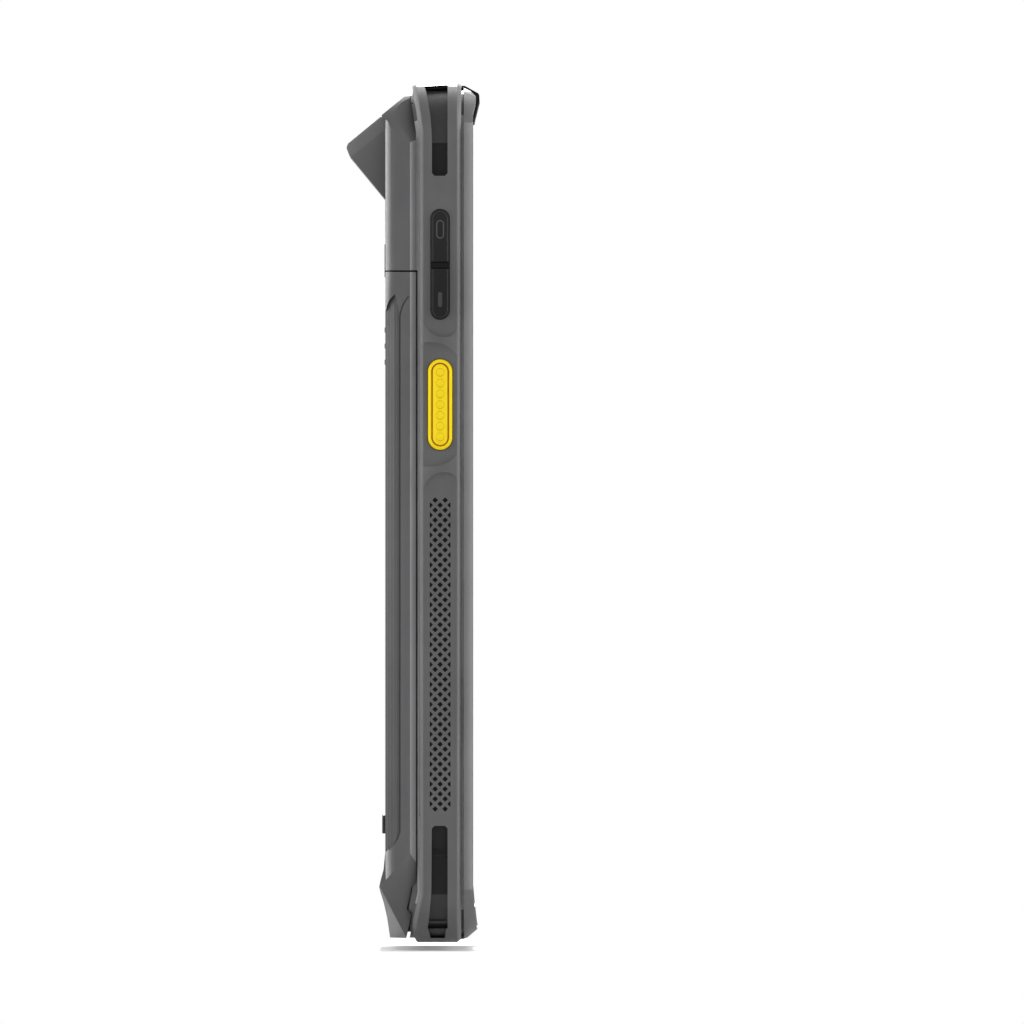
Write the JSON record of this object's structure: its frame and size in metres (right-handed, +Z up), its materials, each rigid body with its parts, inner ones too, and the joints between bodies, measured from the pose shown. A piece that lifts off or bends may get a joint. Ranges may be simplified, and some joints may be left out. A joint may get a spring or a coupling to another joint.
{
  "type": "barcode data terminal",
  "caption": "Handheld barcode data terminal with a touch screen, side scan keys, a square scanner nose and a latched battery.",
  "frame": {"origin": "middle of the flat bottom end, on the mid-plane of the side band", "axes": "+Z up the length to the top end, +X out of the screen, -Y the device's left side"},
  "size_m": [0.0248, 0.076, 0.16],
  "materials": {
    "frame_plastic": "fine satin moulded texture",
    "front_plastic": "fine satin moulded texture",
    "rear_plastic": "fine satin moulded texture",
    "grip_rubber": "soft matt",
    "grille_rubber": "matt with dark pockets",
    "black_plastic": "satin black",
    "pad_rubber": "matt black",
    "key_plastic": "satin black with grey marks",
    "scan_key_plastic": "satin yellow with an orange ring",
    "cover_glass": "polished",
    "display": "dark, switched off",
    "window_glass": "polished, dark red tint",
    "lens_glass": "polished",
    "flash_plastic": "milky",
    "board": "solder mask",
    "shield_metal": "tin-plated",
    "contact_gold": "gold-plated",
    "cell_wrap": "plastic film",
    "mesh_metal": "fine dark mesh",
    "screw_steel": "plain"
  },
  "bodies": {
    "chassis": {"mid_frame": "frame_plastic", "front_housing": "front_plastic", "cover_glass": "cover_glass", "display_panel": "display", "top_trim": "black_plastic", "earpiece_mesh": "mesh_metal", "rear_housing": "rear_plastic", "nose_hood": "rear_plastic", "scan_window": "window_glass", "scan_engine": "black_plastic", "camera_island": "rear_plastic", "camera_glass": "lens_glass", "flash_lens": "flash_plastic", "camera_module": "black_plastic", "main_board": "board", "shield_cans": "shield_metal", "contact_block": "black_plastic", "card_socket": "shield_metal", "usb_socket": "shield_metal", "loudspeaker": "black_plastic", "vibration_motor": "shield_metal", "left_grille": "grille_rubber", "right_grille": "grille_rubber", "volume_bridge": "black_plastic", "power_bezel": "black_plastic", "left_key_board": "board", "right_key_board": "board", "strap_bars": "black_plastic", "housing_screws": "screw_steel"},
    "volume_up": {"volume_up_key": "key_plastic"},
    "volume_down": {"volume_down_key": "key_plastic"},
    "left_scan": {"left_scan_key": "scan_key_plastic"},
    "right_scan": {"right_scan_key": "scan_key_plastic"},
    "power": {"power_key": "key_plastic"},
    "latch": {"battery_latch": "black_plastic"},
    "battery": {"battery_case": "rear_plastic", "battery_cell": "cell_wrap", "battery_contacts": "contact_gold", "left_grip": "grip_rubber", "right_grip": "grip_rubber", "rear_pad": "pad_rubber"}
  },
  "joints": [
    {"name": "volume_up_press", "type": "slide", "parent": "chassis", "child": "volume_up", "axis": [0, 1, 0], "range_m": [0, 0.00035], "stiffness_N_per_m": 500, "springref_m": -0.0005},
    {"name": "volume_down_press", "type": "slide", "parent": "chassis", "child": "volume_down", "axis": [0, 1, 0], "range_m": [0, 0.00035], "stiffness_N_per_m": 500, "springref_m": -0.0005},
    {"name": "left_scan_press", "type": "slide", "parent": "chassis", "child": "left_scan", "axis": [0, 1, 0], "range_m": [0, 0.00035], "stiffness_N_per_m": 500, "springref_m": -0.0005},
    {"name": "right_scan_press", "type": "slide", "parent": "chassis", "child": "right_scan", "axis": [0, -1, 0], "range_m": [0, 0.00035], "stiffness_N_per_m": 500, "springref_m": -0.0005},
    {"name": "power_press", "type": "slide", "parent": "chassis", "child": "power", "axis": [0, -1, 0], "range_m": [0, 0.00035], "stiffness_N_per_m": 500, "springref_m": -0.0005},
    {"name": "latch_slide", "type": "slide", "parent": "chassis", "child": "latch", "axis": [0, 0, 1], "range_m": [0, 0.0026], "stiffness_N_per_m": 400, "springref_m": -0.002},
    {"name": "battery_tilt", "type": "hinge", "parent": "chassis", "child": "battery", "pos_m": [-0.0046, 0, 0.00085], "axis": [0, -1, 0], "range_deg": [0, 16]}
  ]
}
